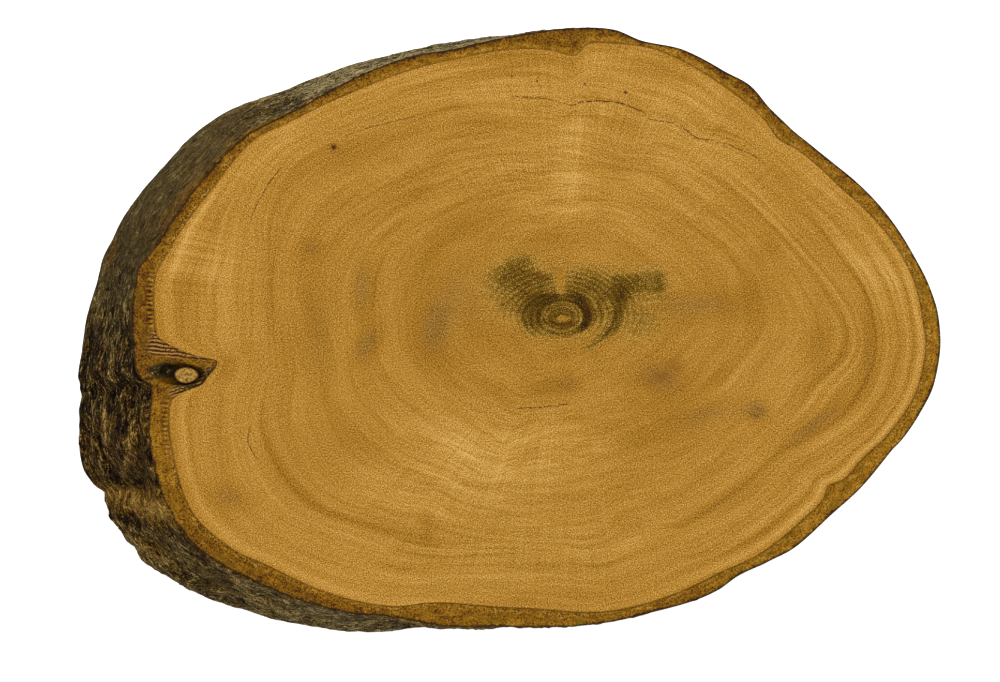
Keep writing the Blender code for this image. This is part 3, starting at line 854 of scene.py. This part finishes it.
# The rim: (angle, share) of the darker outer half, and of the dots and slits beside the wood
outerDark = (
    (0, 0.2), (30, 0.6), (50, 0.95), (140, 0.95), (165, 0.8), (180, 1.0), (199, 0.4), (213, 0.9),
    (230, 1.0), (250, 0.6), (270, 0.5), (290, 0.7), (310, 0.4), (345, 0.25),
)
dotted = (
    (0, 0.5), (70, 0.2), (80, 0.25), (84, 0.5), (88, 0.3), (92, 0.15), (120, 0.2), (135, 0.4), (150, 0.7),
    (165, 0.9), (215, 0.85), (245, 0.6), (262, 0.8), (285, 0.6), (330, 0.5),
)
combShare = (
    (0, 0.0), (171, 0.0), (174.5, 0.8), (176, 1.0), (180.8, 1.0), (182.6, 0.0), (190.8, 0.0),
    (192, 0.8), (198, 0.7), (202, 0.0),
)
# Paler and darker, then warmer, places on the side: picture place, half-length, half-width, turn, strength
sideShade = {
    "knottyPatch": (272, 106, 34, 8, 20, -0.16),
    "knottyPatchEnd": (238, 122, 16, 7, 40, -0.04),
    "paleTop": (340, 78, 55, 6, 16, 0.16),
    "paleTopEnd": (450, 48, 60, 4, 8, 0.14),
    "lenticelRing": (130, 270, 4, 4, 0, -0.30),
    "lenticelMiddle": (130, 270, 1.6, 1.6, 0, 0.5),
    "paleRidge": (104, 418, 40, 2.6, 92, 0.36),
    "paleRidgeHigh": (113, 352, 24, 2.6, 77, 0.30),
    "paleRidgeLow": (128, 440, 34, 2.6, 84, 0.24),
    "silverStreak": (96, 300, 30, 3, 76, 0.18),
    "darkHollowLeft": (92, 352, 26, 7, 84, -0.20),
    "darkFurrow": (120, 400, 50, 4, 90, -0.12),
    "darkAboveLedge": (128, 482, 40, 5, -4, -0.26),
    "ledge": (134, 502, 40, 12, -12, 0.34),
    "ledgeEnd": (163, 514, 14, 8, -35, 0.26),
    "underLedge": (128, 520, 28, 5, -18, -0.24),
    "lowPale": (176, 556, 22, 10, -45, 0.10),
    "darkBesideRim": (200, 556, 28, 5, -38, -0.10),
    "greyBottom": (250, 590, 44, 12, -28, 0.10),
    "darkStep": (362, 612, 24, 6, -12, -0.16),
    "tanPiece": (405, 617, 18, 4, -6, 0.16),
    "darkFoldLine": (133, 368, 14, 3.5, -60, -0.30),
    "lowEdgeLight": (142, 548, 16, 8, -50, 0.12),
    "outerLight": (97, 430, 14, 8, 90, 0.14),
    "innerLight": (145, 430, 32, 6, 88, 0.12),
    "upperInnerLight": (130, 300, 50, 6, 84, 0.08),
}
sideWarmth = {
    "ledge": (134, 502, 42, 12, -12, 1.00),
    "ledgeEnd": (166, 516, 16, 10, -35, 0.80),
    "redStreak": (112, 254, 12, 3, 76, 0.90),
    "redRim": (182, 196, 36, 4, 52, 0.60),
    "redCorner": (150, 335, 20, 12, 90, 0.30),
    "knottyPatch": (272, 106, 34, 9, 20, 0.20),
    "tanPiece": (405, 617, 20, 6, -6, 0.90),
    "rustLow": (150, 548, 16, 5, -45, 0.35),
}
# Calmer places, where the side's pattern is weaker
sideCalm = {
    "ledge": (136, 502, 36, 12, -12, 0.28),
    "greyLow": (215, 578, 22, 9, -38, 0.45),
}
# Steps in the side at the same kind of places, in millimetres outwards
sideSteps = {
    "ledge": (134, 502, 36, 8, -10, 0.22),
    "tooth": (109, 517, 3.5, 3, 0, 0.60),
    "lenticel": (130, 270, 3, 3, 0, 0.20),
    "knottyPatch": (270, 106, 26, 6, 20, -0.25),
    "lowBulge": (162, 570, 42, 12, -40, 0.36),
    "notchFill": (111, 505, 9, 8, 0, 0.55),
    "upperBulge": (112, 243, 32, 10, 74, 0.75),
    "lowCorner": (129, 541, 10, 8, -50, 0.30),
    "notchUpper": (112, 497, 7, 5, 0, 0.85),
}
# Dark places of the rim round the branch, and the crack beside it; in the deep hollow round the branch the
# dark is partly the bark's own colour and partly painted shade
knotShade = {
    "hollow": (165, 371.5, 11, 6.5, 0, 1.3),
    "hollowLeft": (152, 371, 6, 5, 0, 0.55),
    "upperShade": (167, 364.5, 13, 3, 8, 0.55),
    "underStub": (184, 385.0, 15, 2.2, -2, 0.80),
    "greenPatch": (201.5, 372.5, 5, 9, -15, 0.55),
    "roundStub": (186, 375, 19, 13, 0, 0.35),
    "crack": (149, 378.6, 7, 1.2, 3, 1.2),
    "leftLine": (133, 350, 18, 1.8, 88, 0.9),
    "lowerEdge": (208.5, 374, 14, 1.6, 55, 1.0),
    "lowerEdgeLeft": (186, 390.5, 15, 1.5, 14, 0.85),
    "upperEdge": (204, 357, 14, 1.5, -16, 0.7),
    "flap": (147, 352, 11, 13, 0, 0.34),
}
barkLook = {
    "steps": (0.45, 0.15, 182.0, 196.0),        # degrees between points, as for the wood
    "wallSteps": (0.6, 0.1, 180.0, 198.0),      # the same for the walk along the wood's edge
    "rimPower": 1.15,
    "backLift": 0.15,                # millimetres that the hidden underside rises off the surface
    "rimRows": 40,
    "sideRows": 58,
    "backRows": 8,
    "innerRows": 6,
    "tuck": 0.25,                    # the bark's hidden inner wall reaches this far into the wood
    "ashStops": ((0.0, (14, 10, 4)), (0.25, (46, 35, 16)), (0.5, (84, 68, 36)), (0.75, (130, 112, 68)),
                 (1.0, (186, 168, 116))),
    "tanStops": ((0.0, (22, 13, 4)), (0.25, (62, 42, 14)), (0.5, (106, 76, 28)), (0.75, (150, 114, 48)),
                 (1.0, (196, 160, 88))),
    "rimStops": ((0.0, (46, 22, 1)), (0.25, (98, 61, 5)), (0.5, (145, 99, 15)), (0.75, (180, 130, 34)),
                 (1.0, (226, 182, 96))),
    "hollowStops": ((0.0, (16, 12, 5)), (0.5, (46, 37, 16)), (0.8, (92, 76, 42)), (1.0, (160, 140, 98))),
    "olive": (116, 88, 12),
    "paleStrand": (206, 158, 96),
    "slit": (62, 30, 14),
    "skin": (38, 25, 9),
    "combGap": 0.62,                 # millimetres between the slits beside the wood
    "strandGap": 0.50,               # millimetres between the dark strands beside the branch
    "strandSlopes": {"strandAbove": 0.10, "strandBelow": -0.22},
}


def fineRelief(angles, depth):
    # millimetres added to the side: long wrinkles, cracked ridges, broken flakes, crumbs and steps, then
    # the same pattern again as painted shade and highlight, dark in its hollows and pale on its crests
    rough = around(roughness, angles)
    crumb = around(crumbling, angles)
    bend = depth + 0.05 * drift(angles, depth, 46, 6, 31) + 0.02 * drift(angles, depth, 120, 10, 32)
    wrinkle = 1.0 - 2.0 * np.abs(drift(angles, bend, 64, 40, 33))
    ridge = 1.0 - 2.0 * np.abs(drift(angles + 1.5 * drift(angles, depth, 90, 8, 34), bend, 76, 13, 35))
    flake = np.tanh(5.0 * drift(angles, bend, 130, 15, 36))
    sand = drift(angles, depth, 600, 50, 37)
    lump = 1.0 - 2.0 * np.abs(drift(angles + 0.8 * flake, bend, 230, 10, 38))
    lump = 0.7 * lump + 0.5 * drift(angles, depth, 400, 22, 39)
    steps = patchSum(*turned(angles, barkRadius(angles, depth)), sideSteps)
    cracked = (1.0 - 0.6 * crumb) * ridge
    relief = 0.09 * wrinkle + 0.40 * rough ** 2 * cracked + 0.13 * rough * flake
    relief = relief + 0.26 * crumb * lump + 0.06 * sand
    crest = 0.35 * wrinkle + 0.7 * rough * cracked + 0.4 * rough * flake
    return relief, steps, crest + 0.8 * crumb * lump + 0.25 * sand, bend


def wallDistance(x, y):
    # millimetres to the nearest point of the wood's edge, which is walked in short steps
    steps = bearings(*barkLook["wallSteps"])
    wallX, wallY = turned(steps, around(woodEdge, steps))
    rows = [np.hypot(rowX[:, None] - wallX, rowY[:, None] - wallY).min(axis=1) for rowX, rowY in zip(x, y)]
    return np.stack(rows)


def makeRimFinish():
    # golden inner bark: mottled bands, dark slits beside the wood, strands round the branch, dark skin
    look = barkLook
    f = Finish("inner_bark")
    across = f.trait("across")
    comb = f.trait("comb")
    mottle = f.noise(f.place, 0.8, 3.0)
    speck = f.noise(f.place, 3.8, 2.0, 0.6)
    pore = f.noise(f.place, 7.0, 1.0)
    layer = f.noise(f.swept(across * 2.6, 26.0), 1.0)
    tone = 0.62 + mottle * 0.55 + layer * 0.50 + speck * 1.10 + pore * 1.30
    tone = tone - f.trait("outerDark") * f.rise(across, 0.25, 1.2) * 0.30
    bark = f.ramp(tone, look["rimStops"])
    bark = f.cover(f.rise(f.noise(f.place, 0.5), 0.02, 0.22) * 0.5, bark, look["olive"])
    turns = 2.0 * math.pi / look["combGap"]
    teeth = f.wave(f.part(f.place, 1) * turns + f.noise(f.place, 0.9) * 7.0)
    slit = f.rise(teeth + speck * 3.0, -0.2, 0.4) * f.bell(across, 0.60, 0.90) * comb
    seam = f.bell(across, 0.10, 0.22) * f.rise(speck + mottle * 0.5, -0.06, 0.10)
    dots = f.noise(f.place, 4.2, 1.0) + f.bell(across, 0.45, 0.75) * 0.14 + mottle * 0.25
    dots = f.rise(dots, 0.13, 0.24) * (1.0 - f.rise(across, 0.9, 1.5)) * (1.0 - comb) * f.trait("dotted")
    flecks = f.rise(speck + pore * 0.5, 0.10, 0.22) * 0.35
    sway = f.noise(f.place, 0.5) * 9.0 + speck * 2.4
    turns = 2.0 * math.pi / look["strandGap"]
    darkStrand = 0.0
    paleStrand = 0.0
    for name, slope in look["strandSlopes"].items():
        strand = f.wave((f.part(f.fromPith, 1) + f.part(f.fromPith, 0) * slope) * turns + sway)
        darkStrand = darkStrand + f.rise(strand, 0.05, 0.8) * f.trait(name)
        paleStrand = paleStrand + f.rise(strand, -0.3, -0.9) * f.trait(name)
    bark = f.cover(paleStrand * 0.7, bark, look["paleStrand"])
    dark = f.most(slit, seam * 0.60, darkStrand, dots, flecks)
    bark = f.cover(dark, bark, look["slit"])
    skin = 1.0 - f.rise(f.trait("toEdge") + mottle * 0.5 + speck * 0.4, 0.12, 0.42)
    bark = f.cover(skin * 0.85, bark, look["skin"])
    # the hollow's dark: partly the bark's own colour, partly painted shade in the deep hole
    pit = f.rise(f.trait("pit") * (1.0 + speck * 1.6), 0.1, 0.9)
    bark = f.mix(pit, bark, f.ramp(0.42 + speck * 2.0 + mottle * 1.2, look["hollowStops"]))
    normal = f.bump(speck * 0.8 + pore * 0.5 + mottle * 0.4 - dark * 1.2, 0.00012, 0.6)
    return f.finishWith(Base_Color=bark, Roughness=0.74, Normal=normal, Specular_IOR_Level=0.10)


def makeSideFinish():
    # weathered outer bark: fibres where it is sound, pale worm lines and pits where it crumbles
    look = barkLook
    f = Finish("outer_bark")
    lines = f.trait("lines")
    crumb = f.trait("crumb")
    sound = 1.0 - crumb * 0.75
    mottle = f.noise(f.place, 0.45, 3.0)
    blotch = f.noise(f.place, 0.13)
    speck = f.noise(f.place, 4.5, 2.0, 0.6)
    grain = f.noise(f.place, 7.5, 0.0)
    fibre = f.noise(f.swept(lines * 3.6, 26.0), 1.0, 2.5)
    thread = f.noise(f.swept(lines * 8.0, 44.0), 1.0, 1.5)
    worm = f.bell(f.noise(f.place, 1.7, 2.0, 0.6), 0.0, 0.06)
    pits = f.rise(f.noise(f.place, 2.4), 0.02, 0.2)
    long = f.swept(lines * 2.2, 21.0)
    strand = f.bell(f.noise(long, 1.0), 0.0, 0.055)
    furrow = f.bell(f.noise(long, 1.3, 2.0, 0.6), 0.0, 0.05)
    # crest is painted shade and highlight: the side darker in the relief's hollows, paler on its crests
    change = f.trait("crest") * 0.17 + mottle * 0.20 + speck * 0.80 + grain + strand * 0.42 - furrow * 0.40
    change = change + (fibre * 0.6 + thread * 0.85) * sound + (worm * 0.24 - pits * 0.26) * crumb
    tone = f.trait("pale") + change * f.trait("contrast") + blotch * f.trait("unseen") * 0.5
    warm = f.rise(f.trait("warm") + mottle * 0.7 + speck * 0.4 + blotch * 0.6, 0.1, 0.9)
    bark = f.mix(warm, f.ramp(tone, look["ashStops"]), f.ramp(tone, look["tanStops"]))
    height = (fibre * 0.7 + thread * 0.4) * sound + (worm * 0.5 - pits * 0.5) * crumb + speck * 0.6
    normal = f.bump(height + strand * 0.5 - furrow * 0.6, 0.00025, 0.8)
    return f.finishWith(Base_Color=bark, Roughness=0.9, Normal=normal, Specular_IOR_Level=0.06)


def makeBarkRing():
    # closed ring of rows: up the hidden inner wall, over the rim, down the side, back under the slice
    look = barkLook
    form = sliceForm
    angles = bearings(*look["steps"])
    edge = around(barkEdge, angles)
    rimHeight = form["thickness"] - form["rimDrop"]
    sideHeight = rimHeight - form["rimCrown"]

    innerDepth = np.linspace(0.97, 0.06, look["innerRows"])[:, None]
    innerRows = spot(angles, woodWall(angles, innerDepth) - look["tuck"], sideHeight * (1.0 - innerDepth))

    share = np.linspace(0.0, 1.0, look["rimRows"])[:, None] ** look["rimPower"]
    rimRadius = (around(woodEdge, angles) - look["tuck"]) * (1.0 - share) + edge * share
    x, y = turned(angles, rimRadius)
    across = wallDistance(x, y)
    inHollow = np.hypot((x - form["hollowPlace"][0]) / form["hollowRadii"][0],
                        (y - form["hollowPlace"][1]) / form["hollowRadii"][1])
    grain = 0.05 * grit(x, y, 0.7, 41) + 0.035 * grit(x, y, 0.33, 42)
    rimZ = rimHeight - form["rimCrown"] * share ** 2 + grain * (1.0 - share ** 6)
    rimZ = rimZ - form["hollowDepth"] * np.sqrt(np.clip(1.0 - inHollow ** 2, 0.0, 1.0))
    rimRows = spot(angles, rimRadius, rimZ)

    depth = (np.arange(1, look["sideRows"] + 1) / look["sideRows"])[:, None]
    relief, steps, crest, bend = fineRelief(angles, depth)
    fadeBelow = 1.0 - 0.6 * np.exp(-(1.0 - depth) / 0.02)
    sideRadius = barkRadius(angles, depth) + (relief * fadeBelow + steps) * (1.0 - np.exp(-depth / 0.03))
    sideRows = spot(angles, sideRadius, sideHeight * (1.0 - depth))

    backShare = np.linspace(0.0, 1.0, look["backRows"] + 1)[1:, None]
    backInner = woodWall(angles, np.ones_like(angles)) - look["tuck"]
    backRadius = sideRadius[-1] * (1.0 - backShare) + backInner * backShare
    backRows = spot(angles, backRadius, look["backLift"] * ease(backShare, 0.0, 0.4))

    apexX, apexY = form["foldApex"]
    fan = np.degrees(np.arctan2(y - apexY, apexX - x))
    fromApex = np.hypot(x - apexX, y - apexY)
    besideFold = ease(-x, 45.9, 48.0) * (1.0 - ease(across, 2.0, 2.9))
    above = ease(fan, 3.0, 8.0) * (1.0 - ease(fan, 25.0, 33.0)) * (1.0 - ease(fromApex, 8.8, 10.2))
    below = ease(-fan, 24.0, 34.0) * (1.0 - ease(across, 0.9, 1.5)) * (1.0 - ease(fromApex, 7.0, 8.2))
    rimTraits = {
        "across": across,
        "toEdge": edge - rimRadius,
        "comb": around(combShare, angles),
        "outerDark": around(outerDark, angles),
        "dotted": around(dotted, angles),
        "strandAbove": besideFold * above,
        "strandBelow": besideFold * below,
        "pit": patchSum(x, y, knotShade),
    }
    sideX, sideY = turned(angles, sideRadius)
    underRim = np.exp(-(depth / 0.07) ** 2)
    redBand = underRim * ease(angles, 132.0, 142.0) * (1.0 - ease(angles, 178.0, 186.0))
    shown = np.maximum(ease(around(backReach, angles), 0.8, 3.5), np.exp(-(depth / 0.25) ** 2))
    shade = patchSum(sideX, sideY, sideShade) * shown - 0.05 * underRim
    calm = np.clip(patchSum(sideX, sideY, sideCalm) * shown, 0.0, 0.8)
    sideTraits = {
        "crest": crest,
        "lines": bend * form["thickness"],
        "unseen": 1.0 - shown,
        "pale": around(paleness, angles) + shade - 0.10 * (1.0 - shown),
        "warm": around(warmth, angles) + patchSum(sideX, sideY, sideWarmth) * shown + 0.6 * redBand,
        "crumb": around(crumbling, angles),
        "contrast": around(contrast, angles) * (1.0 - calm),
    }
    backTraits = {
        "across": (1.0 - backShare) * form["backThickness"],
        "toEdge": backShare * form["backThickness"],
    }
    rows = np.concatenate((innerRows, rimRows, sideRows, backRows))
    first = len(innerRows)
    middle = first + len(rimRows)
    last = middle + len(sideRows)
    traits = {name: np.zeros(rows.shape[:2]) for name in (*rimTraits, *sideTraits)}
    zones = ((first, middle, rimTraits), (middle, last, sideTraits), (last, len(rows), backTraits))
    for start, end, values in zones:
        for name, value in values.items():
            traits[name][start:end] = value
    for name in ("pale", "warm", "crumb", "contrast"):
        traits[name][middle - 1] = traits[name][middle]
        traits[name][last:] = traits[name][last - 1]
    finishOfRow = np.zeros(len(rows), dtype=int)
    finishOfRow[middle - 1:last - 1] = 1
    makePiece("bark_ring", rows, [], [makeRimFinish(), makeSideFinish()], finishOfRow, traits)


stubLook = {
    "columns": 96,
    "faceRows": 16,
    "sideRows": 8,
    "sink": 3.2,
    "flare": 1.22,
    "unevenness": 0.05,
    "edgeDip": 0.10,
    "stops": ((0.0, (54, 32, 6)), (0.3, (108, 74, 16)), (0.55, (154, 114, 32)), (1.0, (202, 160, 66))),
    "skin": (62, 40, 18),
}


def makeStubFinish():
    # pale end grain of the little branch, speckled, with a dark brown skin
    f = Finish("branch_end")
    ring = f.trait("ring")
    speck = f.noise(f.place, 2.6, 2.0, 0.6)
    pore = f.noise(f.place, 6.5, 1.0)
    tone = 0.58 + speck * 1.9 + pore * 1.2 + f.noise(f.join(ring * 5.0, 0.0, 0.0), 1.0, 1.0) * 0.3
    wood = f.ramp(tone, stubLook["stops"])
    wood = f.cover(f.rise(ring + speck * 0.15, 0.86, 1.0), wood, stubLook["skin"])
    normal = f.bump(speck + pore, 0.00012, 0.5)
    return f.finishWith(Base_Color=wood, Roughness=0.6, Normal=normal, Specular_IOR_Level=0.25)


def makeBranchStub():
    # oval rows from the middle of the cut end outwards, over a rounded edge and down a widening side
    look = stubLook
    form = sliceForm
    angles = np.arange(look["columns"]) * 360.0 / look["columns"]
    uneven = 1.0 + look["unevenness"] * drift(angles, np.zeros_like(angles), 7, 1, 51)
    share = (np.arange(1, look["faceRows"] + 1) / look["faceRows"])[:, None]
    down = (np.arange(1, look["sideRows"] + 1) / look["sideRows"])[:, None]
    top = form["thickness"] - form["stubDrop"]
    scale = np.concatenate((share * 0.97, 1.0 + (look["flare"] - 1.0) * down)) * uneven
    ringShare = np.broadcast_to(np.concatenate((share, 1.0 + down)), scale.shape)
    x, y = turned(angles, scale)
    x = form["stubPlace"][0] + form["stubRadii"][0] * x
    y = form["stubPlace"][1] + form["stubRadii"][1] * y
    dip = np.concatenate((look["edgeDip"] * share ** 6, look["edgeDip"] + look["sink"] * down))
    z = top - dip + 0.05 * grit(x, y, 0.5, 52) * (ringShare < 1.0)
    rows = toFrame(x, y, z)
    poles = [toFrame(*form["stubPlace"], top), toFrame(*form["stubPlace"], z[-1, 0])]
    finishOfRow = np.zeros(len(rows) - 1, dtype=int)
    makePiece("branch_stub", rows, poles, [makeStubFinish()], finishOfRow, {"ring": ringShare})


def makeCamera():
    # looks straight down; the picture's middle and width come from the pith's pixel and the scale
    view = photoView
    width, height = view["pictureSize"]
    distance = width / view["pixelsPerMm"] * view["lens"] / view["sensor"]
    data = bpy.data.cameras.new("camera")
    data.lens = view["lens"]
    data.sensor_width = view["sensor"]
    data.clip_end = 100.0
    camera = addObject("camera", data)
    camera.location = toFrame(*fromPixel(width / 2.0, height / 2.0), sliceForm["thickness"] + distance)
    bpy.context.scene.camera = camera


def makeStudio():
    # white dome, two soft lamps aimed at the slice, and a pale paper floor that glows a little
    world = bpy.data.worlds.new("studio")
    world.use_nodes = True
    dome = world.node_tree.nodes["Background"].inputs
    dome["Color"].default_value = (1.0, 1.0, 1.0, 1.0)
    dome["Strength"].default_value = studio["dome"]
    bpy.context.scene.world = world
    for place, size, watts in studio["lamps"]:
        data = bpy.data.lights.new("softbox", "AREA")
        data.size = size
        data.energy = watts
        lamp = addObject("softbox", data)
        lamp.location = place
        distance = math.sqrt(sum(value * value for value in place))
        tilt = math.acos(place[2] / distance)
        lamp.rotation_euler = (0.0, tilt, math.atan2(place[1], place[0]))
    half = studio["floorSize"] / 2.0
    height = studio["floorHeight"]
    mesh = bpy.data.meshes.new("floor")
    corners = [(-half, -half, height), (half, -half, height), (half, half, height), (-half, half, height)]
    mesh.from_pydata(corners, [], [(0, 1, 2, 3)])
    f = Finish("floor_paper")
    pale = (*[linearShare(value) for value in studio["floorColour"]], 1.0)
    shaded = (*[studio["floorShade"]] * 3, 1.0)
    colour = f.mix(f.rise(f.noise(f.place, 0.02, 1.0), -0.3, 0.3), shaded, pale)
    glow = {"Emission_Color": (1.0, 1.0, 1.0, 1.0), "Emission_Strength": studio["floorGlow"]}
    mesh.materials.append(f.finishWith(Base_Color=colour, Roughness=0.9, Specular_IOR_Level=0.1, **glow))
    floor = addObject("floor", mesh)
    bpy.context.scene.view_settings.view_transform = "Standard"


makeCamera()
makeStudio()
print("camera, lamps and floor made")
makeWoodBody()
makeBarkRing()
makeBranchStub()
